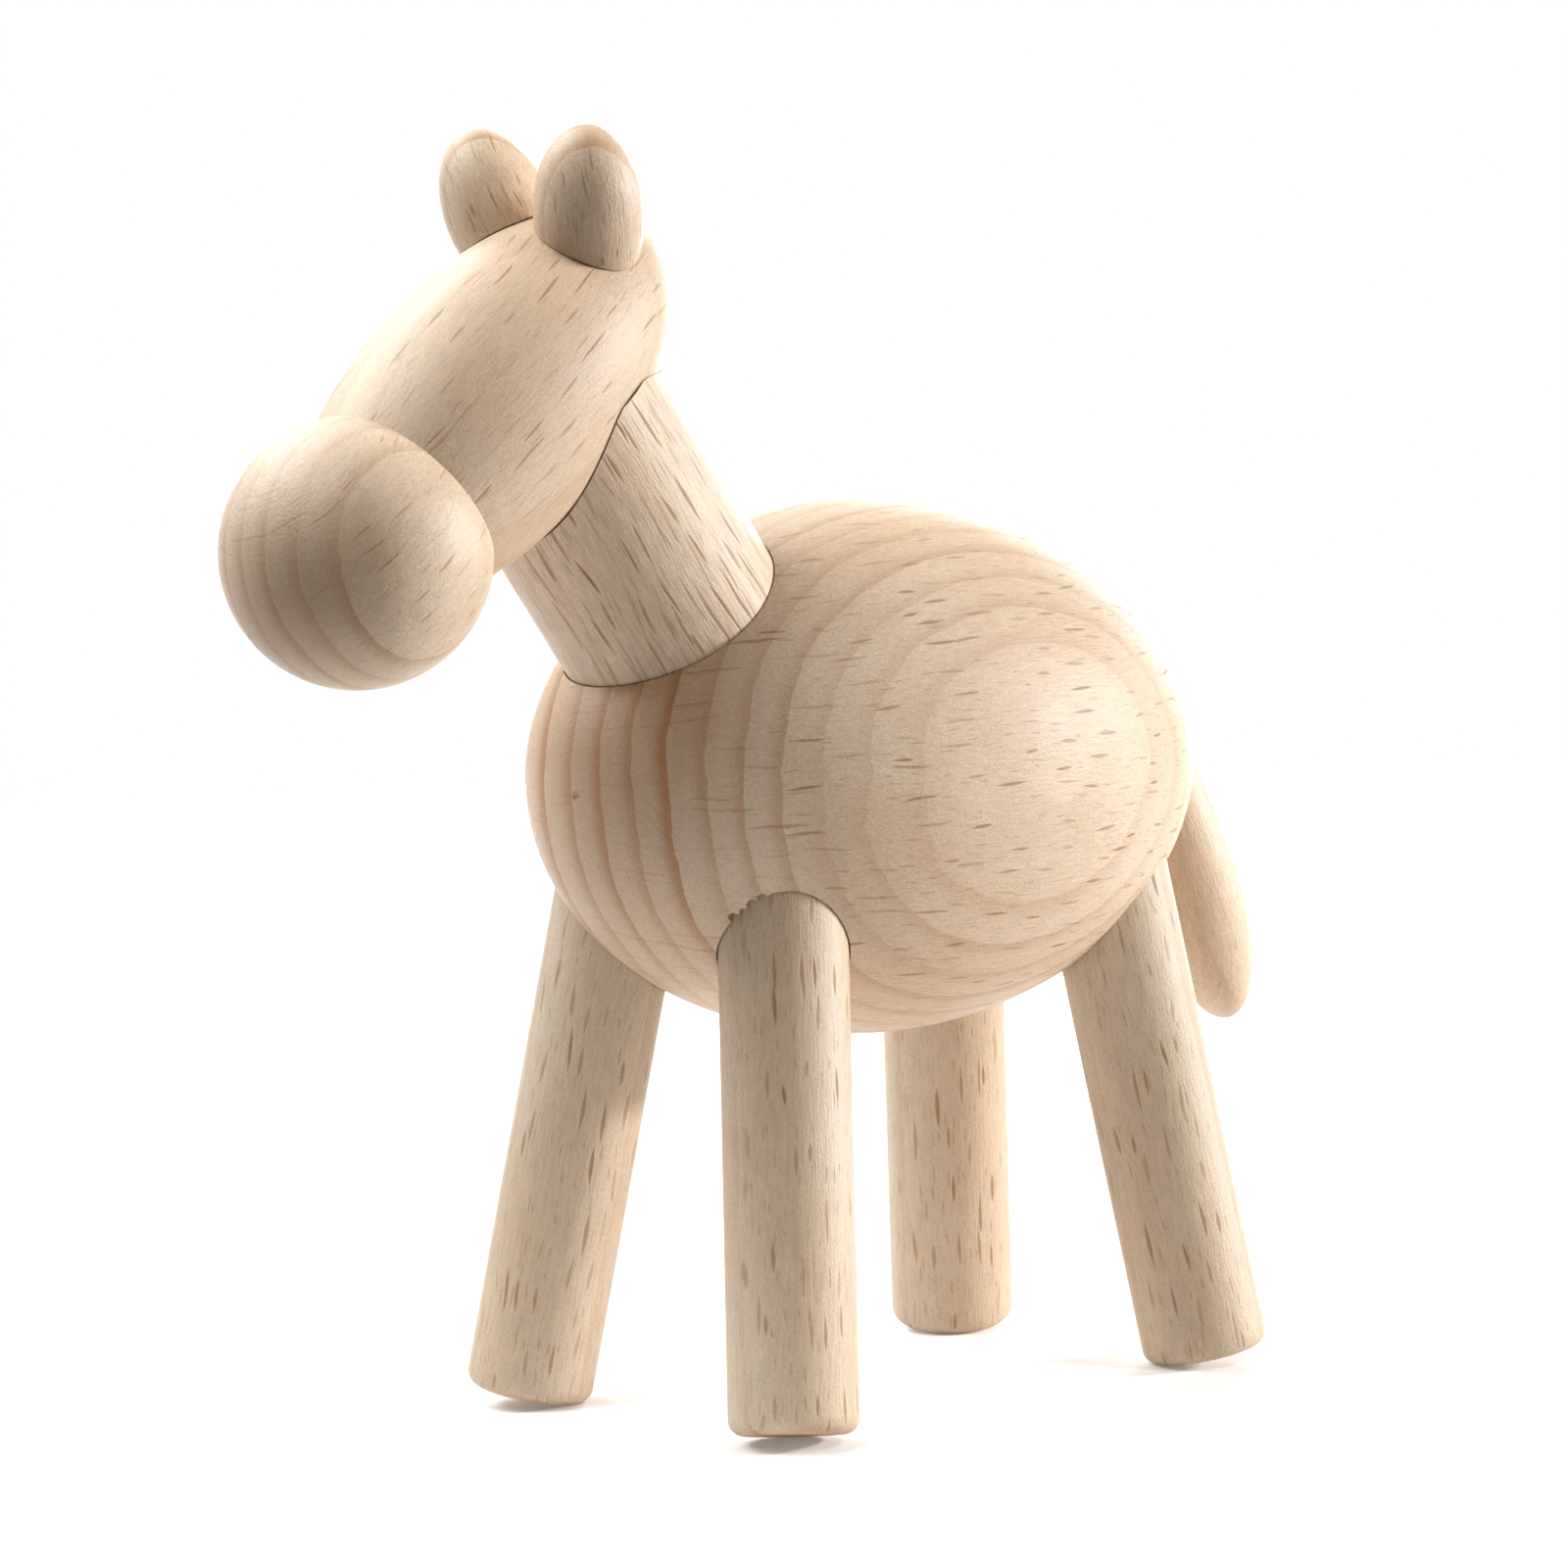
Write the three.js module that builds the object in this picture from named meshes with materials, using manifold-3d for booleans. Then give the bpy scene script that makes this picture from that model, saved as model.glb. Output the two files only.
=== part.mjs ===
// A small turned wooden horse: an egg-shaped body on four raked dowel legs, a thick dowel neck,
// an egg-shaped head with a ball for a snout, two egg-shaped ears and a drop-shaped tail.
// Every piece is turned from beech. The legs and the neck stand in sockets drilled in the body.
// Tail, head, snout and ears have seats hollowed to fit their neighbour, and hidden dowel pins.
//
// Millimetres. +Z is up, the horse looks along -Y, and its left side is +X.
// While it is built, the middle of the body is at X 0, Y 0 and the floor is at Z 0.
// At the end the whole horse is moved so that the middle of its footprint box is the origin.

import * as THREE from 'three';
import { mergeVertices } from 'three/addons/utils/BufferGeometryUtils.js';
import Module from 'manifold-3d';

const wasm = await Module();
wasm.setup();

// ---------------------------------------------------------------- driving dimensions

const GAP = 0.3; // between a piece and the socket or seat that holds it

const BODY = { radius: 21.1, halfLength: 30.5, z: 49.2 };

const LEG = { radius: 5, edge: 1.2, length: 46 };
// Where a leg's axis meets the floor, and how far it moves for each millimetre up:
// inwards, and towards the tail (negative towards the head).
const FRONT_LEG = { x: 15.4, y: -24.2, inward: 0.15, back: 0.15 };
const HIND_LEG = { x: 14.6, y: 22.3, inward: 0.13, back: -0.13 };

// The neck's axis passes through y, z. Its dowel is cut square below the head's middle, then
// hollowed to fit the head. reach: longer than the horse, so a drilled hole runs right out.
const NECK = { radius: 9.05, lean: 36.3, y: -29.8, z: 75, socketDepth: 7, belowHead: 3.6, reach: 75 };
const HEAD = { radius: 9.9, halfLength: 20.4, droop: 38, y: -38.35, z: 78.9 };
const SNOUT = { radius: 10.15, reach: 16.45 }; // reach: from the head's middle along its axis
const EAR = { radius: 4.2, halfLength: 6.8, x: 5, y: -31.8, z: 93.3, forward: 16, outward: 16 };
// The tail is widest at this point, and leans forward towards its upper, longer end.
const TAIL = { radius: 4.1, lower: 11.5, upper: 17.2, y: 37.2, z: 35.8, lean: 20.5 };

const PIN = { radius: 3, length: 13, edge: 0.5 }; // neck to head, and head to snout
const SMALL_PIN = { radius: 1.5, length: 7, edge: 0.3 }; // head to ears, and rump to tail
const SNOUT_PIN_INSET = 4; // from the head's end to the middle of the pin
const EAR_PIN_RISE = 1; // from the ear's lower end to the middle of the pin
// From the tail's widest point to its pin's middle, along its axis and towards the rump.
const TAIL_PIN = { rise: 11.5, inward: 2.4 };

const WOOD = { color: 0xd9bfa0, roughness: 0.62, metalness: 0 };

// ---------------------------------------------------------------- directions

const radians = THREE.MathUtils.degToRad;
const X_AXIS = new THREE.Vector3(1, 0, 0);
const UP = new THREE.Vector3(0, 0, 1);

// A direction in the horse's middle plane, turned from straight up towards the head.
function leaning(degrees) {
  return UP.clone().applyAxisAngle(X_AXIS, radians(degrees));
}

const bodyCentre = new THREE.Vector3(0, 0, BODY.z);
const neckAxis = leaning(NECK.lean);
const neckPoint = new THREE.Vector3(0, NECK.y, NECK.z);
const headAxis = leaning(90 + HEAD.droop);
const headCentre = new THREE.Vector3(0, HEAD.y, HEAD.z);
const snoutCentre = headCentre.clone().addScaledVector(headAxis, SNOUT.reach);
const tailAxis = leaning(TAIL.lean);
const tailCentre = new THREE.Vector3(0, TAIL.y, TAIL.z);

// ---------------------------------------------------------------- turned shapes

const AROUND = 36; // facets round a large piece
const SMALL_AROUND = 20; // facets round a small one
const EDGE_STEPS = 3; // facets across a rounded edge
const PIN_EDGE_STEPS = 2;
const ALONG = 16; // facets from end to end
const BODY_ALONG = 24;

// A turned solid whose axis is local Y, from a profile of [radius, height] points.
function turned(profile, around) {
  const points = profile.map(([radius, height]) => new THREE.Vector2(radius, height));
  return new THREE.LatheGeometry(points, around);
}

// An egg: two half ellipsoids that share their widest circle.
function egg(radius, lower, upper, around, along = ALONG) {
  const profile = [];
  for (let step = 0; step <= along; step += 1) {
    const angle = Math.PI * (step / along - 0.5);
    const half = angle < 0 ? lower : upper;
    const atEnd = step === 0 || step === along;
    profile.push([atEnd ? 0 : radius * Math.cos(angle), half * Math.sin(angle)]);
  }
  return turned(profile, around);
}

// A dowel from height 0 to length, with a rounded edge at each end.
function dowel(radius, length, edge, around, steps = EDGE_STEPS) {
  const profile = [[0, 0]];
  for (let step = 0; step <= steps; step += 1) {
    const angle = (Math.PI / 2) * (step / steps);
    profile.push([radius - edge + edge * Math.sin(angle), edge - edge * Math.cos(angle)]);
  }
  for (let step = steps; step >= 0; step -= 1) {
    const angle = (Math.PI / 2) * (step / steps);
    profile.push([radius - edge + edge * Math.sin(angle), length - edge + edge * Math.cos(angle)]);
  }
  profile.push([0, length]);
  return turned(profile, around);
}

// A plain cylinder from height 0 to length: a drilled hole, or a dowel's uncut stock.
function bore(radius, length, around) {
  return turned([[0, 0], [radius, 0], [radius, length], [0, length]], around);
}

// ---------------------------------------------------------------- solids

// Lays a turned shape along an axis, starting at a point, as a manifold solid.
function place(geometry, start, axis) {
  const turn = new THREE.Quaternion().setFromUnitVectors(new THREE.Vector3(0, 1, 0), axis);
  const shape = geometry.clone().applyMatrix4(
    new THREE.Matrix4().compose(start, turn, new THREE.Vector3(1, 1, 1)),
  );
  shape.deleteAttribute('normal');
  shape.deleteAttribute('uv');
  const welded = mergeVertices(shape, 1e-4);
  return new wasm.Manifold(new wasm.Mesh({
    numProp: 3,
    vertProperties: Float32Array.from(welded.attributes.position.array),
    triVerts: Uint32Array.from(welded.index.array),
  }));
}

// Turns a manifold solid back into a named three.js mesh.
function piece(name, solid) {
  const { vertProperties, triVerts } = solid.getMesh();
  const geometry = new THREE.BufferGeometry();
  geometry.setAttribute('position', new THREE.BufferAttribute(vertProperties, 3));
  geometry.setIndex(new THREE.BufferAttribute(triVerts, 1));
  geometry.computeVertexNormals();
  const mesh = new THREE.Mesh(geometry, new THREE.MeshStandardMaterial(WOOD));
  mesh.name = name;
  return mesh;
}

function along(point, axis, distance) {
  return point.clone().addScaledVector(axis, distance);
}

// ---------------------------------------------------------------- legs

// Each leg is a dowel whose outer end is cut square, so it stands on the inner part of its edge.
function legFrame(stance, side) {
  const axis = new THREE.Vector3(-side * stance.inward, stance.back, 1).normalize();
  const onFloor = new THREE.Vector3(side * stance.x, stance.y, 0);
  // The lowest part of the rounded edge has to be level with the floor.
  const tilt = Math.sqrt(1 - axis.z * axis.z);
  const lift = (LEG.edge - LEG.edge * axis.z + (LEG.radius - LEG.edge) * tilt) / axis.z;
  return { axis, start: along(onFloor, axis, lift) };
}

const legs = [
  ['leg_front_left', legFrame(FRONT_LEG, 1)],
  ['leg_front_right', legFrame(FRONT_LEG, -1)],
  ['leg_hind_left', legFrame(HIND_LEG, 1)],
  ['leg_hind_right', legFrame(HIND_LEG, -1)],
];

function legPiece([name, { axis, start }]) {
  return piece(name, place(dowel(LEG.radius, LEG.length, LEG.edge, SMALL_AROUND), start, axis));
}

// A socket runs from the leg's inner end, with a gap, out past the body's skin.
function legSocket([, { axis, start }]) {
  const inner = along(start, axis, LEG.length + GAP);
  const hole = bore(LEG.radius + GAP, LEG.length, SMALL_AROUND);
  return place(hole, inner, axis.clone().negate());
}

// ---------------------------------------------------------------- body, neck and tail

// The solid of the body without any socket, grown or shrunk by a margin.
function bodyEgg(margin) {
  const half = BODY.halfLength + margin;
  const shape = egg(BODY.radius + margin, half, half, AROUND, BODY_ALONG);
  return place(shape, bodyCentre, leaning(90));
}

// Distance from a point, along a direction, to the surface of an egg's ellipsoid.
function distanceToSkin(point, direction, centre, axis, radius, half) {
  const local = point.clone().sub(centre);
  const [p, d] = [local, direction].map((vector) => {
    const lengthwise = vector.dot(axis);
    const across = vector.clone().addScaledVector(axis, -lengthwise);
    return across.divideScalar(radius).addScaledVector(axis, lengthwise / half);
  });
  const b = p.dot(d);
  return (-b + Math.sqrt(b * b - d.dot(d) * (p.dot(p) - 1))) / d.dot(d);
}

// The neck's axis leaves the body here.
const neckFoot = along(neckPoint, neckAxis, -NECK.reach);
const neckInBody = distanceToSkin(
  neckFoot, neckAxis, bodyCentre, leaning(90), BODY.radius, BODY.halfLength,
);
const neckStart = along(neckFoot, neckAxis, neckInBody - NECK.socketDepth);

function neckSocket() {
  const hole = bore(NECK.radius + GAP, NECK.reach, AROUND);
  return place(hole, along(neckStart, neckAxis, -GAP), neckAxis);
}

function bodyPiece() {
  let solid = bodyEgg(0).subtract(neckSocket()).subtract(tailPin.hole());
  for (const leg of legs) {
    solid = solid.subtract(legSocket(leg));
  }
  return piece('body', solid);
}

// ---------------------------------------------------------------- head, snout and ears

function headEgg(margin) {
  const half = HEAD.halfLength + margin;
  return place(egg(HEAD.radius + margin, half, half, AROUND), headCentre, headAxis);
}

function snoutBall() {
  return place(egg(SNOUT.radius, SNOUT.radius, SNOUT.radius, AROUND), snoutCentre, headAxis);
}

const ears = [['left', 1], ['right', -1]].map(([sideName, side]) => {
  const axis = new THREE.Vector3(
    side * Math.tan(radians(EAR.outward)),
    -Math.tan(radians(EAR.forward)),
    1,
  ).normalize();
  return { sideName, axis, centre: new THREE.Vector3(side * EAR.x, EAR.y, EAR.z) };
});

// ---------------------------------------------------------------- hidden dowel pins

// A pin is centred on the seat between two pieces. Its holes are longer and wider by the gap.
function pin(name, size, seat, axis) {
  const start = along(seat, axis, -size.length / 2);
  const hole = bore(size.radius + GAP, size.length + 2 * GAP, SMALL_AROUND);
  const shape = dowel(size.radius, size.length, size.edge, SMALL_AROUND, PIN_EDGE_STEPS);
  return {
    mesh: () => piece(name, place(shape, start, axis)),
    hole: () => place(hole, along(start, axis, -GAP), axis),
  };
}

// The tail lies against the rump, and its pin is square to it.
const tailPinAxis = leaning(TAIL.lean + 90);
const tailPinSide = along(tailCentre, tailAxis, TAIL_PIN.rise);
const tailPin = pin('tail_pin', SMALL_PIN, along(tailPinSide, tailPinAxis, TAIL_PIN.inward), tailPinAxis);

// The neck's axis enters the head here, seen from inside the head.
const neckInHead = distanceToSkin(
  headCentre, neckAxis.clone().negate(), headCentre, headAxis, HEAD.radius, HEAD.halfLength,
);
const neckPin = pin('neck_pin', PIN, along(headCentre, neckAxis, -neckInHead), neckAxis);
const snoutPinMiddle = along(headCentre, headAxis, HEAD.halfLength - SNOUT_PIN_INSET);
const snoutPin = pin('snout_pin', PIN, snoutPinMiddle, headAxis);
const earPins = ears.map(({ sideName, axis, centre }) => {
  const middleOfPin = along(centre, axis, EAR_PIN_RISE - EAR.halfLength);
  return pin(`ear_pin_${sideName}`, SMALL_PIN, middleOfPin, axis);
});

function tailPiece() {
  const { radius, lower, upper } = TAIL;
  const whole = place(egg(radius, lower, upper, SMALL_AROUND), tailCentre, tailAxis);
  return piece('tail', whole.subtract(bodyEgg(GAP)).subtract(tailPin.hole()));
}

function neckPiece() {
  const length = headCentre.clone().sub(neckStart).dot(neckAxis) - NECK.belowHead;
  const stock = place(bore(NECK.radius, length, AROUND), neckStart, neckAxis);
  return piece('neck', stock.subtract(headEgg(GAP)).subtract(neckPin.hole()));
}

function headPiece() {
  let solid = headEgg(0).subtract(neckPin.hole()).subtract(snoutPin.hole());
  for (const earPin of earPins) {
    solid = solid.subtract(earPin.hole());
  }
  return piece('head', solid);
}

function snoutPiece() {
  return piece('snout', snoutBall().subtract(headEgg(GAP)).subtract(snoutPin.hole()));
}

function earPiece({ sideName, axis, centre }, earPin) {
  const whole = place(egg(EAR.radius, EAR.halfLength, EAR.halfLength, SMALL_AROUND), centre, axis);
  return piece(`ear_${sideName}`, whole.subtract(headEgg(GAP)).subtract(earPin.hole()));
}

// ---------------------------------------------------------------- assembly

const horse = new THREE.Group();
horse.add(bodyPiece());
horse.add(...legs.map(legPiece));
horse.add(tailPiece());
horse.add(neckPiece());
horse.add(headPiece());
horse.add(snoutPiece());
ears.forEach((ear, index) => horse.add(earPiece(ear, earPins[index])));
horse.add(neckPin.mesh());
horse.add(snoutPin.mesh());
horse.add(tailPin.mesh());
earPins.forEach((earPin) => horse.add(earPin.mesh()));

const box = new THREE.Box3().setFromObject(horse, true);
const middle = box.getCenter(new THREE.Vector3());
horse.position.set(-middle.x, -middle.y, -box.min.z);

const model = new THREE.Group();
model.add(horse);

export default model;
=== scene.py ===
import math

import bmesh
import bpy
from mathutils import Matrix, Vector


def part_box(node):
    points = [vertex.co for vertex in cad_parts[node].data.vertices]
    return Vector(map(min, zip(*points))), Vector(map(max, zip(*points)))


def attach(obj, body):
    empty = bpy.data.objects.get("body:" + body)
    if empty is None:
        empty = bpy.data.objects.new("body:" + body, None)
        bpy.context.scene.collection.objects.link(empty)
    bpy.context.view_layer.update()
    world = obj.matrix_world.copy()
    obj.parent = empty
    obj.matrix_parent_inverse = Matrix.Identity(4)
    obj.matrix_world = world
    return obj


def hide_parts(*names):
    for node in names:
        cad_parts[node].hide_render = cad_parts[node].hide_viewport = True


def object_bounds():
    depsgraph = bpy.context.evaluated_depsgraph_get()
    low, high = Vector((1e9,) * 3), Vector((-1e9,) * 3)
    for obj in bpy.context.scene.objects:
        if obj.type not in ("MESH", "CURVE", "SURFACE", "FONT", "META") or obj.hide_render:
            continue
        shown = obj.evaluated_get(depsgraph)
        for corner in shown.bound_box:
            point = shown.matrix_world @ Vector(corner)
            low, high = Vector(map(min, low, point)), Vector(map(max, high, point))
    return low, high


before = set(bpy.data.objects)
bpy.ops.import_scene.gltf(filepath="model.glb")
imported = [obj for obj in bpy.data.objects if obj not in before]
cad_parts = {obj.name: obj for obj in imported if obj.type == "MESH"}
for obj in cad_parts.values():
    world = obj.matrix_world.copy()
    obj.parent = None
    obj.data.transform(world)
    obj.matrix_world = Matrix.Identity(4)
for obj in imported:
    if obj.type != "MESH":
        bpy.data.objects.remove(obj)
cad_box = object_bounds()

# A small turned beech horse. The frame says where each piece is; this script turns each piece
# again as a fine, smooth mesh, cuts its sockets, seats and pin holes, and gives it solid beech.
# Sizes below are in millimetres, as in the CAD source, and angles in degrees.

MM = 0.001
SEAM = 0.12  # between a piece and the socket or seat that holds it

BODY_AXIS = (0, -1, 0)
LEG = {"radius": 5, "length": 46, "edge": 1.25}
FRONT_LEG_SLOPE = {"inward": 0.15, "back": 0.15}  # for each millimetre up
HIND_LEG_SLOPE = {"inward": 0.13, "back": -0.13}
NECK = {"radius": 9.05, "lean": 36.3, "below_head": 3.6, "hole": 46}  # hole: runs right out
HEAD = {"radius": 9.9, "half": 20.4, "lean": 128}
SNOUT_RADIUS = 10.15
EAR = {"radius": 4.2, "half": 6.8, "forward": 16, "outward": 16}
TAIL = {"radius": 4.1, "lower": 11.5, "upper": 17.2, "lean": 20.5}
NECK_STEPS = 48  # facets from end to end
SOCKET_DEPTH_MARGIN = 0.3  # a socket's floor is this far from the dowel's end

EAR_PIN_RADIUS = 1.5  # the ear pins lean sideways, so their box doesn't give it
PIN_HALF = {
    "neck_pin": 6.5, "snout_pin": 6.5, "tail_pin": 3.5, "ear_pin_left": 3.5, "ear_pin_right": 3.5,
}

# Facets round each turned piece, and from end to end. The head, neck and snout share theirs.
BODY_AROUND, BODY_ALONG = 320, 200
HEAD_AROUND, HEAD_ALONG, SNOUT_ALONG = 224, 160, 144
SMALL_AROUND, EAR_ALONG, TAIL_ALONG = 128, 96, 128
NECK_SOCKET_AROUND, LEG_SOCKET_AROUND, PIN_AROUND = 256, 192, 64
BALL_AROUND, BALL_ALONG = 24, 16

# The camera's place is given from the middle of the object's box.
CAMERA = {
    "azimuth": 46.88, "elevation": 4.75, "roll": -1.66,
    "distance": 529.1, "across": 0.35, "above": -1.47, "lens": 155.64,
}


# ------------------------------------------------------------------ directions and places

def leaning(degrees):
    """A direction in the horse's middle plane, turned from straight up towards the head."""
    angle = math.radians(degrees)
    return Vector((0, -math.sin(angle), math.cos(angle)))


def sloping(side, slope):
    return Vector((-side * slope["inward"], slope["back"], 1)).normalized()


def ear_axis(side):
    outward = math.tan(math.radians(EAR["outward"]))
    forward = math.tan(math.radians(EAR["forward"]))
    return Vector((side * outward, -forward, 1)).normalized()


def box(node):
    """A CAD node's lowest and highest corner, in millimetres."""
    low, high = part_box(node)
    return low / MM, high / MM


def middle(node):
    low, high = box(node)
    return (low + high) / 2


def reach(axis, radius, half):
    """How far an egg's ellipsoid reaches from its middle along X, Y and Z."""
    return Vector(
        math.sqrt((half * part) ** 2 + radius ** 2 * (1 - part ** 2)) for part in axis
    )


def placed(centre, axis):
    """The matrix that lays local Z along an axis and keeps local X as near X as it can."""
    z = Vector(axis).normalized()
    x = (Vector((1, 0, 0)) - z * z.x).normalized()
    y = z.cross(x)
    turn = Matrix((x, y, z)).transposed().to_4x4()
    return Matrix.Translation(centre * MM) @ turn


# ------------------------------------------------------------------ turned meshes

def turned(name, profile, around):
    """A closed mesh turned about local Z, from [radius, height] points that start and end
    on the axis."""
    mesh = bpy.data.meshes.new(name)
    piece = bpy.data.objects.new(name, mesh)
    bpy.context.scene.collection.objects.link(piece)
    shape = bmesh.new()
    turns = [2 * math.pi * step / around for step in range(around)]
    rings = []
    for radius, height in profile[1:-1]:
        rings.append([
            shape.verts.new((radius * math.cos(t) * MM, radius * math.sin(t) * MM, height * MM))
            for t in turns
        ])
    ends = [shape.verts.new((0, 0, profile[end][1] * MM)) for end in (0, -1)]
    for step in range(around):
        after = (step + 1) % around
        shape.faces.new((ends[0], rings[0][after], rings[0][step]))
        shape.faces.new((ends[1], rings[-1][step], rings[-1][after]))
        for lower, upper in zip(rings, rings[1:]):
            shape.faces.new((lower[step], lower[after], upper[after], upper[step]))
    shape.to_mesh(mesh)
    shape.free()
    return piece


def egg(name, radius, lower, upper, around, along):
    """Two half ellipsoids that share their widest circle."""
    profile = []
    for step in range(along + 1):
        angle = math.pi * (step / along - 0.5)
        half = lower if angle < 0 else upper
        profile.append((radius * math.cos(angle), half * math.sin(angle)))
    return turned(name, profile, around)


def dowel(name, radius, length, edge, around, segments=40, round_steps=10):
    """A dowel centred on the origin, with a rounded edge at each end."""
    turns = [math.pi / 2 * step / round_steps for step in range(round_steps + 1)]
    lower = [
        (radius - edge + edge * math.sin(t), -length / 2 + edge - edge * math.cos(t))
        for t in turns
    ]
    straight = length - 2 * edge
    side = [(radius, straight * (step / segments - 0.5)) for step in range(1, segments)]
    upper = [(r, -height) for r, height in reversed(lower)]
    return turned(name, [(0, -length / 2)] + lower + side + upper + [(0, length / 2)], around)


def bore(radius, start, end, around):
    """A plain cylinder along local Z, to cut a socket or a hole with."""
    return turned("bore", [(0, start), (radius, start), (radius, end), (0, end)], around)


def cut(piece, cutters):
    """Takes the cutters out of a piece, and removes them."""
    for cutter in cutters:
        modifier = piece.modifiers.new("cut", "BOOLEAN")
        modifier.operation = "DIFFERENCE"
        modifier.solver = "EXACT"
        modifier.object = cutter
    bpy.context.view_layer.update()
    finished = piece.evaluated_get(bpy.context.evaluated_depsgraph_get())
    mesh = bpy.data.meshes.new_from_object(finished)
    piece.modifiers.clear()
    piece.data = mesh
    for cutter in cutters:
        bpy.data.objects.remove(cutter)


def smooth(piece, sharp_above=32):
    """Shades a piece smooth, but for the edges of its cuts."""
    shape = bmesh.new()
    shape.from_mesh(piece.data)
    bmesh.ops.remove_doubles(shape, verts=shape.verts, dist=0.002 * MM)
    for face in shape.faces:
        face.smooth = True
    for edge in shape.edges:
        edge.smooth = edge.calc_face_angle(0) < math.radians(sharp_above)
    shape.to_mesh(piece.data)
    shape.free()


def finish_piece(piece, node, material):
    smooth(piece)
    piece.data.materials.clear()
    piece.data.materials.append(material)
    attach(piece, "root")
    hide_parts(node)


# ------------------------------------------------------------------ beech

def add_node(tree, kind, inputs=None, **settings):
    """Adds a node. An input that is a socket is linked, and any other value is set."""
    made = tree.nodes.new("ShaderNode" + kind)
    for setting, value in settings.items():
        setattr(made, setting, value)
    for key, value in (inputs or {}).items():
        if isinstance(value, bpy.types.NodeSocket):
            tree.links.new(value, made.inputs[key])
        else:
            made.inputs[key].default_value = value
    return made


def arithmetic(tree):
    def calculate(operation, *values, clamp=False):
        inputs = dict(enumerate(values))
        return add_node(tree, "Math", inputs, operation=operation, use_clamp=clamp).outputs[0]
    return calculate


def step_between(tree, value, low, high):
    """0 below low, 1 above high, and smooth in between."""
    inputs = {"Value": value, "From Min": low, "From Max": high}
    return add_node(tree, "MapRange", inputs, interpolation_type="SMOOTHSTEP").outputs[0]


def mix(tree, factor, first, second, blend="MIX"):
    made = add_node(tree, "Mix", data_type="RGBA", blend_type=blend, clamp_factor=True)
    sockets = {0: factor, 6: first, 7: second}
    for index, value in sockets.items():
        if isinstance(value, bpy.types.NodeSocket):
            tree.links.new(value, made.inputs[index])
        else:
            made.inputs[index].default_value = value
    return made.outputs[2]


PALE = (0.65, 0.505, 0.372, 1)
WARM = (0.59, 0.425, 0.288, 1)
# Painted shade: the legs' two tones are the body's beech made about a tenth darker and a little
# greyer, to stand in for the shade on the legs.
SHADED_LEG_PALE = (0.56, 0.45, 0.335, 1)
SHADED_LEG_WARM = (0.51, 0.375, 0.255, 1)
LATE_WOOD = (0.37, 0.18, 0.078, 1)
END_GRAIN = (0.47, 0.295, 0.178, 1)
RAY = (0.27, 0.132, 0.052, 1)


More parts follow.
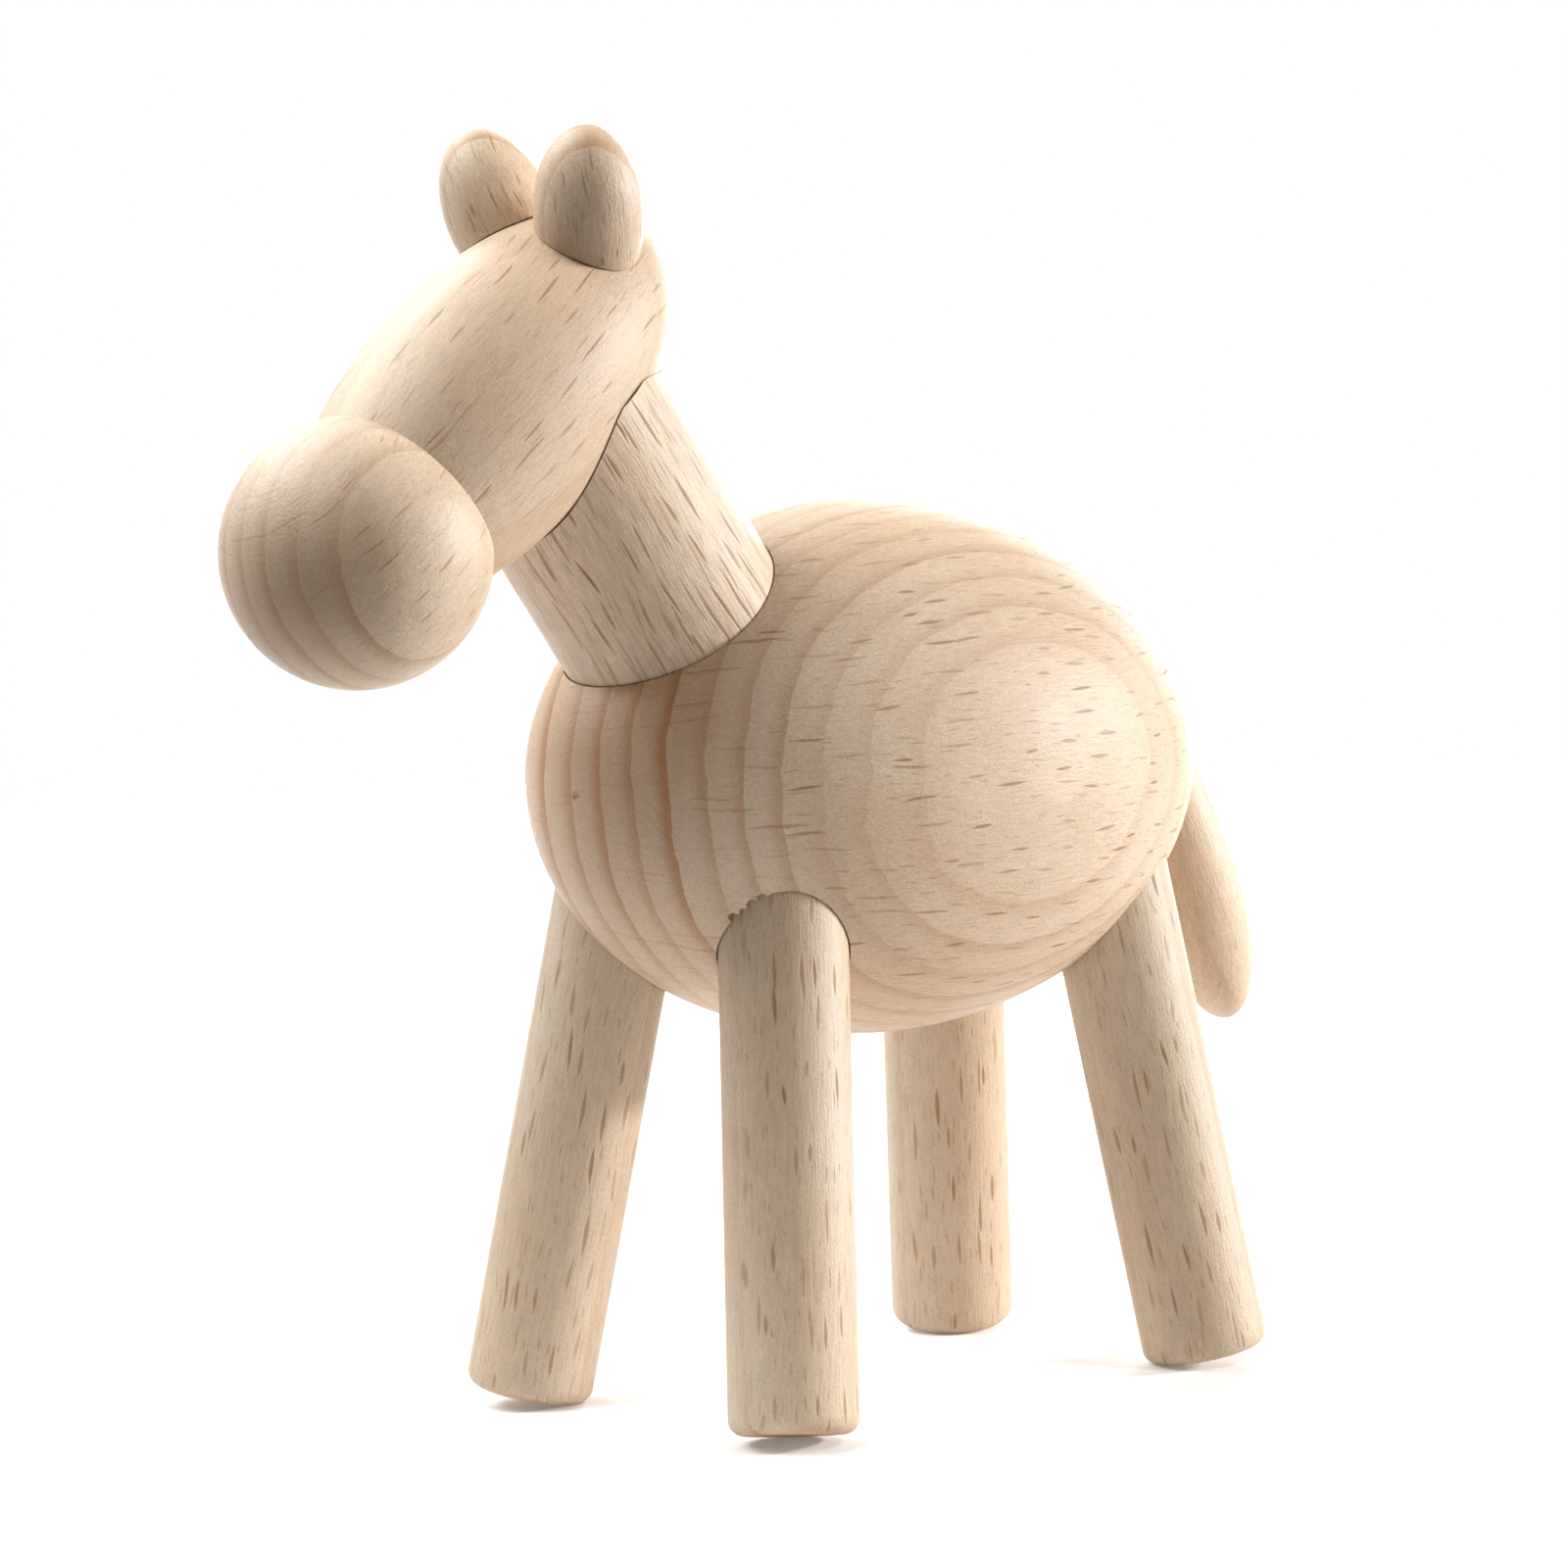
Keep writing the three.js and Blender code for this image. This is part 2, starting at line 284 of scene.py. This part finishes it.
def beech(name, offset, facing=0, ring_width=3.3, narrowing=0.0, ring_start=0.0, pith=70,
          ring_strength=0.5, ray=(2.5, 0.24, 1.5, 4.6), ray_share=0.85, ray_strength=0.8,
          end_strength=0.8, pale=PALE, warm=WARM, fibre=0.5):
    """Solid beech whose grain runs along the piece's own Z. `facing` is the direction, round
    that axis, in which the growth rings grow; `pith` is how far behind the middle they start."""
    material = bpy.data.materials.new(name)
    material.use_nodes = True
    tree = material.node_tree
    tree.nodes.clear()
    calc = arithmetic(tree)
    place = add_node(tree, "TexCoord")
    turn = math.radians(facing)
    grain = add_node(tree, "Mapping", {
        "Vector": place.outputs["Object"], "Rotation": (0, 0, -turn),
        "Scale": (1 / MM, 1 / MM, 1 / MM),
    }).outputs[0]
    facing_node = add_node(tree, "Mapping", {
        "Vector": place.outputs["Normal"], "Rotation": (0, 0, -turn),
    }, vector_type="NORMAL").outputs[0]
    normal = add_node(tree, "SeparateXYZ", {0: facing_node}).outputs
    end_grain = step_between(tree, calc("ABSOLUTE", normal["Z"]), 0.45, 0.98)
    radial_face = step_between(tree, calc("ABSOLUTE", normal["Y"]), 0.6, 0.98)
    ring_face = step_between(tree, calc("ABSOLUTE", normal["X"]), 0.72, 0.98)
    moved = add_node(tree, "VectorMath", {0: grain, 1: offset}, operation="ADD").outputs[0]

    def noise(scale, detail=2.0, roughness=0.5, channel=0):
        stretched = add_node(tree, "VectorMath", {0: moved, 1: scale}, operation="MULTIPLY")
        inputs = {"Vector": stretched.outputs[0], "Scale": 1.0, "Detail": detail,
                  "Roughness": roughness}
        return add_node(tree, "TexNoise", inputs).outputs[channel]

    # growth rings: cylinders about the pith, darker towards their outer side
    bend = calc("MULTIPLY", calc("SUBTRACT", noise((0.05, 0.05, 0.02)), 0.5), 3.0)
    flutter = calc("MULTIPLY", calc("SUBTRACT", noise((0.5, 0.5, 0.12)), 0.5), 0.35)
    at = add_node(tree, "SeparateXYZ", {0: grain}).outputs
    from_pith = calc("ADD", at["X"], pith)
    radius = calc("SQRT", calc("ADD", calc("POWER", from_pith, 2.0), calc("POWER", at["Y"], 2.0)))
    depth = calc("ADD", calc("SUBTRACT", radius, pith), calc("ADD", bend, flutter))
    widened = calc("MULTIPLY", depth, calc("MULTIPLY_ADD", depth, narrowing, 1.0))
    ring = calc("ADD", calc("DIVIDE", widened, ring_width), 100 + ring_start)
    year = calc("FRACT", ring)
    late = calc("POWER", step_between(tree, year, 0.25, 0.97), 2.2)
    late = calc("MULTIPLY", late, calc("SUBTRACT", 1.0, step_between(tree, year, 0.965, 1.0)))
    chance = add_node(tree, "TexWhiteNoise", {"W": calc("FLOOR", ring)}, noise_dimensions="1D")
    late = calc("MULTIPLY", late, calc("MULTIPLY_ADD", chance.outputs[0], 0.6, 0.5))
    by_face = calc("MULTIPLY_ADD", end_grain, end_strength, ring_strength)
    late = calc("MULTIPLY", late, by_face, clamp=True)
    late = calc("MULTIPLY", late, calc("MULTIPLY_ADD", ring_face, -0.6, 1.0))

    # rays: thin ribbons along the grain, seen edge on as short spindle-shaped dashes
    spread = calc("MULTIPLY", calc("ARCTAN2", at["Y"], from_pith), float(pith))
    wander = calc("MULTIPLY", calc("SUBTRACT", noise((0.2, 0.2, 0.08)), 0.5), 1.2)
    across = calc("ADD", spread, wander)
    lengthwise = calc("ADD", at["Z"], calc("MULTIPLY", radius, 0.35))

    def dashes(length, width, cell_width, cell_length, share, start):
        """Spindles of about that length and width, one in most cells of a jittered grid."""
        cell_place = add_node(tree, "CombineXYZ", {
            0: calc("MULTIPLY_ADD", across, 1 / cell_width, offset[0] + start),
            1: calc("MULTIPLY_ADD", lengthwise, 1 / cell_length, offset[1] + start),
        }).outputs[0]
        cells = add_node(tree, "TexVoronoi", {
            "Vector": cell_place, "Scale": 1.0, "Randomness": 0.9,
        }, voronoi_dimensions="2D")
        apart = add_node(tree, "VectorMath", {
            0: cell_place, 1: cells.outputs["Position"],
        }, operation="SUBTRACT").outputs[0]
        apart = add_node(tree, "SeparateXYZ", {0: apart}).outputs
        draw = add_node(tree, "SeparateColor", {0: cells.outputs["Color"]}).outputs
        size = calc("MULTIPLY_ADD", draw[0], 0.9, 0.55)
        far_along = calc("DIVIDE", calc("MULTIPLY", apart["Y"], 2 * cell_length / length), size)
        skew = calc("MULTIPLY", calc("SUBTRACT", draw[2], 0.5), 0.09 * cell_length)
        sideways = calc("MULTIPLY_ADD", apart["X"], cell_width, calc("MULTIPLY", apart["Y"], skew))
        far_across = calc("MULTIPLY", calc("ABSOLUTE", sideways), 2 / width)
        spindle = calc("SUBTRACT", 1.0, calc("POWER", calc("ABSOLUTE", far_along), 2.0))
        inside = step_between(tree, calc("SUBTRACT", spindle, far_across), -0.15, 0.55)
        shown = calc("LESS_THAN", draw[1], share)
        strength = calc("MULTIPLY_ADD", draw[2], 0.65, 0.35)
        return calc("MULTIPLY", calc("MULTIPLY", inside, shown), strength)

    length, width, cell_width, cell_length = ray
    long_rays = dashes(length, width, cell_width, cell_length, ray_share, 0.0)
    short_rays = dashes(0.5 * length, 0.6 * width, 0.55 * cell_width, 0.55 * cell_length, 0.7, 7.3)
    rays = calc("MAXIMUM", long_rays, calc("MULTIPLY", short_rays, 0.5))
    quiet = calc("SUBTRACT", 1.0, calc("MULTIPLY", radial_face, 0.55))
    quiet = calc("MULTIPLY", quiet, calc("SUBTRACT", 1.0, calc("MULTIPLY", end_grain, 0.75)))
    rays = calc("MULTIPLY", calc("MULTIPLY", rays, quiet), ray_strength, clamp=True)

    # tone: broad warm and grey patches, fibres along the grain, and a fine sanded speckle
    patches = step_between(tree, noise((0.09, 0.09, 0.035), 3.0), 0.3, 0.7)
    fibres = noise((4.2, 4.2, 0.5), 3.0, 0.6)
    speckle = noise((7.0, 7.0, 4.0), 2.0, 0.7)
    wood = mix(tree, patches, pale, warm)
    wood = mix(tree, calc("MULTIPLY", end_grain, 0.55), wood, END_GRAIN)
    wood = mix(tree, late, wood, LATE_WOOD)
    wood = mix(tree, rays, wood, RAY)
    grainy = calc("MULTIPLY_ADD", calc("SUBTRACT", fibres, 0.5), fibre, 1.0)
    sandy = calc("MULTIPLY_ADD", calc("SUBTRACT", speckle, 0.5), 0.62, grainy)
    tint = add_node(tree, "CombineColor", {0: sandy, 1: sandy, 2: sandy}).outputs[0]
    wood = mix(tree, 1.0, wood, tint, "MULTIPLY")

    relief = calc("SUBTRACT", calc("MULTIPLY", speckle, 0.7), calc("MULTIPLY", rays, 0.6))
    relief = calc("ADD", relief, calc("MULTIPLY", fibres, 0.8))
    bump = add_node(tree, "Bump", {"Height": relief, "Strength": 0.55, "Distance": 0.09 * MM})
    rough = calc("MULTIPLY_ADD", speckle, 0.16, calc("MULTIPLY_ADD", rays, 0.15, 0.42))
    surface = add_node(tree, "BsdfPrincipled", {
        "Base Color": wood, "Roughness": rough, "Normal": bump.outputs[0],
        "IOR": 1.5, "Specular IOR Level": 0.5,
    })
    output = add_node(tree, "OutputMaterial")
    tree.links.new(surface.outputs[0], output.inputs[0])
    return material


# ------------------------------------------------------------------ the pieces

neck_axis = leaning(NECK["lean"])
head_axis = leaning(HEAD["lean"])
tail_axis = leaning(TAIL["lean"])
tail_pin_axis = leaning(TAIL["lean"] + 90)  # square to the tail

body_low, body_high = box("body")
body_radius = (body_high.x - body_low.x) / 2
body_half = (body_high.y - body_low.y) / 2
body_place = placed(middle("body"), BODY_AXIS)
head_place = placed(middle("head"), head_axis)


def body_egg(margin):
    """The body's whole egg, grown by a margin, in its place."""
    half = body_half + margin
    whole = egg("body", body_radius + margin, half, half, BODY_AROUND, BODY_ALONG)
    whole.matrix_world = body_place
    return whole


def head_egg(margin):
    half = HEAD["half"] + margin
    whole = egg("head", HEAD["radius"] + margin, half, half, HEAD_AROUND, HEAD_ALONG)
    whole.matrix_world = head_place
    return whole


def pin_hole(node, axis):
    """The hole for one of the hidden pins, a seam wider and longer than the pin."""
    low, high = box(node)
    size = high - low
    leans_sideways = abs(axis.x) > 0.01
    radius = EAR_PIN_RADIUS if leans_sideways else size.x / 2
    half = PIN_HALF[node] + SOCKET_DEPTH_MARGIN
    hole = bore(radius + SEAM, -half, half, PIN_AROUND)
    hole.matrix_world = placed(middle(node), axis)
    return hole


# Where the rim of the front left leg's socket is chipped, from the body's middle.
CHIPS = [
    ((9.6, -23.5, -9.4), 0.42), ((11.2, -23.0, -8.45), 0.48), ((11.9, -22.6, -8.0), 0.45),
    ((13.1, -21.2, -7.9), 0.38), ((10.4, -23.3, -9.0), 0.3), ((12.5, -22.0, -7.85), 0.3),
]
CENTRE_MARK = {"radius": 0.6, "out": 0.38}  # left by the lathe, at the chest's end of the axis

# Which way each leg's growth rings face, round its own axis.
LEG_FACING = {
    "leg_front_left": -25, "leg_front_right": -50, "leg_hind_left": -40, "leg_hind_right": -30,
}


def leg_place(node, side, slope):
    return placed(middle(node), sloping(side, slope))


legs = {
    "leg_front_left": leg_place("leg_front_left", 1, FRONT_LEG_SLOPE),
    "leg_front_right": leg_place("leg_front_right", -1, FRONT_LEG_SLOPE),
    "leg_hind_left": leg_place("leg_hind_left", 1, HIND_LEG_SLOPE),
    "leg_hind_right": leg_place("leg_hind_right", -1, HIND_LEG_SLOPE),
}

# The neck's lower end is a whole disc: its rearmost and lowest points give the middle.
neck_low, neck_high = box("neck")
lean = math.radians(NECK["lean"])
neck_foot = Vector((
    0, neck_high.y - NECK["radius"] * math.cos(lean), neck_low.z + NECK["radius"] * math.sin(lean),
))
neck_place = placed(neck_foot, neck_axis)


def leg_socket(place):
    """Runs from past the leg's inner end out through the body's skin."""
    inner = LEG["length"] / 2 + SOCKET_DEPTH_MARGIN
    hole = bore(LEG["radius"] + SEAM, -LEG["length"], inner, LEG_SOCKET_AROUND)
    hole.matrix_world = place
    return hole


def neck_socket():
    radius = NECK["radius"] + SEAM
    hole = bore(radius, -SOCKET_DEPTH_MARGIN, NECK["hole"], NECK_SOCKET_AROUND)
    hole.matrix_world = neck_place
    return hole


def ball(centre, radius):
    shape = egg("ball", radius, radius, radius, BALL_AROUND, BALL_ALONG)
    shape.matrix_world = placed(centre, BODY_AXIS)
    return shape


def make_body():
    body = body_egg(0)
    cutters = [leg_socket(place) for place in legs.values()]
    cutters += [neck_socket(), pin_hole("tail_pin", tail_pin_axis)]
    cutters += [ball(middle("body") + Vector(place), radius) for place, radius in CHIPS]
    mark = Vector(BODY_AXIS) * (body_half + CENTRE_MARK["out"])
    cutters.append(ball(middle("body") + mark, CENTRE_MARK["radius"]))
    cut(body, cutters)
    finish_piece(body, "body", beech(
        "beech_body", (3.1, 7.7, 1.9), ring_width=3.36, narrowing=0.0278, ring_start=0.13,
        ring_strength=0.42, end_strength=0.95,
    ))
    body.name = "turned_body"


def make_leg(node, place, number):
    leg = dowel(node, LEG["radius"], LEG["length"], LEG["edge"], SMALL_AROUND)
    leg.matrix_world = place
    # The legs take the darker beech tones: painted shade.
    finish_piece(leg, node, beech(
        "beech_" + node, (11.3 * number, 5.7 * number, 17.1 * number), facing=LEG_FACING[node],
        ring_width=2.6, ring_strength=0.3, ray=(2.9, 0.32, 1.6, 4.6), ray_share=0.75,
        ray_strength=0.9, pale=SHADED_LEG_PALE, warm=SHADED_LEG_WARM,
    ))
    leg.name = "turned_" + node


def make_neck():
    """A dowel cut square a little below the head's middle, then hollowed to fit the head."""
    foot_to_head = middle("head") - neck_foot
    length = foot_to_head.dot(neck_axis) - NECK["below_head"]
    neck = turned("neck", [(0, 0), (NECK["radius"], 0)] + [
        (NECK["radius"], length * step / NECK_STEPS) for step in range(1, NECK_STEPS + 1)
    ] + [(0, length)], HEAD_AROUND)
    neck.matrix_world = neck_place
    cut(neck, [head_egg(SEAM), pin_hole("neck_pin", neck_axis)])
    finish_piece(neck, "neck", beech(
        "beech_neck", (23.0, 4.0, 41.0), facing=-30, ring_width=2.2, ring_strength=0.22,
        ray=(5.4, 0.27, 1.05, 6.0), ray_share=0.95, ray_strength=1.0, fibre=0.7,
    ))
    neck.name = "turned_neck"


def make_head():
    head = head_egg(0)
    holes = [pin_hole("neck_pin", neck_axis), pin_hole("snout_pin", head_axis)]
    holes += [pin_hole("ear_pin_left", ear_axis(1)), pin_hole("ear_pin_right", ear_axis(-1))]
    cut(head, holes)
    finish_piece(head, "head", beech(
        "beech_head", (7.0, 31.0, 13.0), facing=25, ring_strength=0.25, end_strength=0.5,
        ray=(3.3, 0.24, 1.6, 5.2), ray_strength=0.75,
    ))
    head.name = "turned_head"


def make_snout():
    low, high = box("snout")
    centre = Vector((0, low.y + SNOUT_RADIUS, low.z + SNOUT_RADIUS))
    radius = SNOUT_RADIUS
    snout = egg("snout", radius, radius, radius, HEAD_AROUND, SNOUT_ALONG)
    snout.matrix_world = placed(centre, head_axis)
    cut(snout, [head_egg(SEAM), pin_hole("snout_pin", head_axis)])
    finish_piece(snout, "snout", beech(
        "beech_snout", (51.0, 3.0, 29.0), ring_width=2.4, ring_strength=0.35, end_strength=0.8,
        ray=(2.2, 0.22, 1.4, 4.2), ray_strength=0.6,
    ))
    snout.name = "turned_snout"


def make_ear(node, side):
    axis = ear_axis(side)
    size = reach(axis, EAR["radius"], EAR["half"])
    low, high = box(node)
    outer = high.x - size.x if side > 0 else low.x + size.x
    centre = Vector((outer, low.y + size.y, high.z - size.z))
    ear = egg(node, EAR["radius"], EAR["half"], EAR["half"], SMALL_AROUND, EAR_ALONG)
    ear.matrix_world = placed(centre, axis)
    cut(ear, [head_egg(SEAM), pin_hole("ear_pin_left" if side > 0 else "ear_pin_right", axis)])
    finish_piece(ear, node, beech(
        "beech_" + node, (61.0 + 9 * side, 19.0, 5.0 * side), facing=-35, ring_width=2.0,
        ring_strength=0.45, ray=(1.9, 0.22, 1.0, 3.2), ray_strength=0.7,
    ))
    ear.name = "turned_" + node


def make_tail():
    size = reach(tail_axis, TAIL["radius"], TAIL["lower"])
    low, high = box("tail")
    centre = Vector((0, high.y - size.y, low.z + size.z))
    tail = egg("tail", TAIL["radius"], TAIL["lower"], TAIL["upper"], SMALL_AROUND, TAIL_ALONG)
    tail.matrix_world = placed(centre, tail_axis)
    cut(tail, [body_egg(SEAM), pin_hole("tail_pin", tail_pin_axis)])
    finish_piece(tail, "tail", beech(
        "beech_tail", (71.0, 37.0, 3.0), facing=10, ring_width=2.6, ring_strength=0.3,
        ray=(1.4, 0.16, 1.3, 3.5), ray_share=0.4, ray_strength=0.4,
    ))
    tail.name = "turned_tail"


def dress_pins():
    """The hidden pins stay as CAD made them, in the same wood."""
    material = beech("beech_pins", (5.0, 2.0, 8.0))
    for node in PIN_HALF:
        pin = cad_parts[node]
        pin.data.materials.clear()
        pin.data.materials.append(material)


make_body()
for number, (node, place) in enumerate(legs.items()):
    make_leg(node, place, number)
make_neck()
make_head()
make_snout()
make_ear("ear_left", 1)
make_ear("ear_right", -1)
make_tail()
dress_pins()


# ------------------------------------------------------------------ floor, camera and light

PAPER_NEAR = 0.092  # metres: the part of the paper that throws light back on the object
PAPER_FAR = 0.6


def white_sweep():
    """Matt white paper that glows a little more the further it is from the object, as a
    studio sweep does where its own lamps light it."""
    material = bpy.data.materials.new("white_sweep")
    material.use_nodes = True
    tree = material.node_tree
    tree.nodes.clear()
    calc = arithmetic(tree)
    cloud = add_node(tree, "TexNoise", {"Scale": 6.0}).outputs[0]
    shade = mix(tree, cloud, (0.93, 0.93, 0.93, 1), (0.91, 0.91, 0.91, 1))
    place = add_node(tree, "NewGeometry").outputs["Position"]
    far = add_node(tree, "VectorMath", {0: place}, operation="LENGTH").outputs["Value"]
    glow = calc("MULTIPLY_ADD", step_between(tree, far, 0.07, 0.30), 0.9, 0.14)
    surface = add_node(tree, "BsdfPrincipled", {
        "Base Color": shade, "Roughness": 0.9, "Specular IOR Level": 0.1,
        "Emission Color": (1, 1, 1, 1), "Emission Strength": glow,
    })
    output = add_node(tree, "OutputMaterial")
    tree.links.new(surface.outputs[0], output.inputs[0])
    return material


def make_floor(name, inner, outer, material, around=96):
    """A flat ring on the ground, or a whole disc where its inner radius is 0."""
    shape = bmesh.new()
    turns = [2 * math.pi * step / around for step in range(around)]
    rings = [
        [shape.verts.new((radius * math.cos(t), radius * math.sin(t), 0)) for t in turns]
        for radius in (inner, outer) if radius > 0
    ]
    if inner > 0:
        for step in range(around):
            after = (step + 1) % around
            shape.faces.new((rings[0][step], rings[1][step], rings[1][after], rings[0][after]))
    else:
        shape.faces.new(rings[0])
    mesh = bpy.data.meshes.new(name)
    shape.to_mesh(mesh)
    shape.free()
    floor = bpy.data.objects.new(name, mesh)
    bpy.context.scene.collection.objects.link(floor)
    floor.location.z = cad_box[0].z
    floor.data.materials.append(material)
    return floor


azimuth = math.radians(CAMERA["azimuth"])
elevation = math.radians(CAMERA["elevation"])
roll = math.radians(CAMERA["roll"])
back = Vector((
    math.sin(azimuth) * math.cos(elevation),
    -math.cos(azimuth) * math.cos(elevation),
    math.sin(elevation),
))
right = Vector((math.cos(azimuth), math.sin(azimuth), 0))
up = back.cross(right)
object_middle = (cad_box[0] + cad_box[1]) / 2


def make_camera():
    camera = bpy.data.objects.new("camera", bpy.data.cameras.new("camera"))
    bpy.context.scene.collection.objects.link(camera)
    x = right * math.cos(roll) + up * math.sin(roll)
    y = up * math.cos(roll) - right * math.sin(roll)
    offset = back * CAMERA["distance"] + right * CAMERA["across"] + up * CAMERA["above"]
    turn = Matrix((x, y, back)).transposed().to_4x4()
    camera.matrix_world = Matrix.Translation(object_middle + offset * MM) @ turn
    camera.data.sensor_width = 36
    camera.data.lens = CAMERA["lens"]
    camera.data.clip_start = 0.01
    camera.data.clip_end = 20
    bpy.context.scene.camera = camera


def make_light(name, turned_right, raised, distance, size, power, colour=(1, 1, 1)):
    """A round area light. Its direction from the object is given from the camera's: so many
    degrees round to the right, and raised so many above the floor."""
    light = bpy.data.lights.new(name, "AREA")
    light.shape = "DISK"
    light.size = size
    light.energy = power
    light.color = colour
    lamp = bpy.data.objects.new(name, light)
    bpy.context.scene.collection.objects.link(lamp)
    lamp.visible_camera = False
    level_back = Vector((back.x, back.y, 0)).normalized()
    a, e = math.radians(turned_right), math.radians(raised)
    level = right * math.sin(a) + level_back * math.cos(a)
    direction = level * math.cos(e) + Vector((0, 0, math.sin(e)))
    turn = direction.to_track_quat("Z", "Y").to_matrix().to_4x4()
    lamp.matrix_world = Matrix.Translation(object_middle + direction * distance) @ turn


def make_world(strength):
    world = bpy.data.worlds.new("studio")
    bpy.context.scene.world = world
    world.use_nodes = True
    tree = world.node_tree
    tree.nodes.clear()
    sky = add_node(tree, "Background", {"Color": (1, 1, 1, 1), "Strength": strength})
    output = add_node(tree, "OutputWorld")
    tree.links.new(sky.outputs[0], output.inputs[0])
    world.cycles_visibility.diffuse = False


paper = white_sweep()
make_floor("floor", 0, PAPER_NEAR, paper)
far_floor = make_floor("far_floor", PAPER_NEAR, PAPER_FAR, paper)
far_floor.visible_diffuse = False  # the glow is for the eye, and doesn't light the object
make_camera()
make_world(1.0)
make_light("left_window", -110, 40, 1.0, 0.45, 5.6, (1.0, 0.98, 0.96))
make_light("left_window_far", -150, 40, 1.0, 0.45, 4.2, (0.92, 0.98, 1.0))
make_light("left_window_near", -70, 40, 1.0, 0.45, 1.7, (0.92, 0.98, 1.0))
make_light("head_lamp", -65, 62, 0.26, 0.12, 0.36, (0.95, 0.99, 1.0))
make_light("overhead", 0, 78, 1.0, 0.45, 0.5, (1.0, 0.97, 0.95))
make_light("back_sweep", 165, 8, 1.0, 0.45, 9.6, (1.0, 0.98, 0.98))
make_light("right_sweep", 75, 8, 1.0, 0.45, 1.3, (1.0, 0.9, 0.76))
make_light("right_front", 60, 42, 0.8, 0.12, 1.7, (1.0, 0.97, 0.92))
make_light("sun", 99, 12, 0.8, 0.07, 7.3, (0.96, 0.98, 1.0))

scene = bpy.context.scene
scene.view_settings.view_transform = "Standard"
scene.view_settings.look = "None"
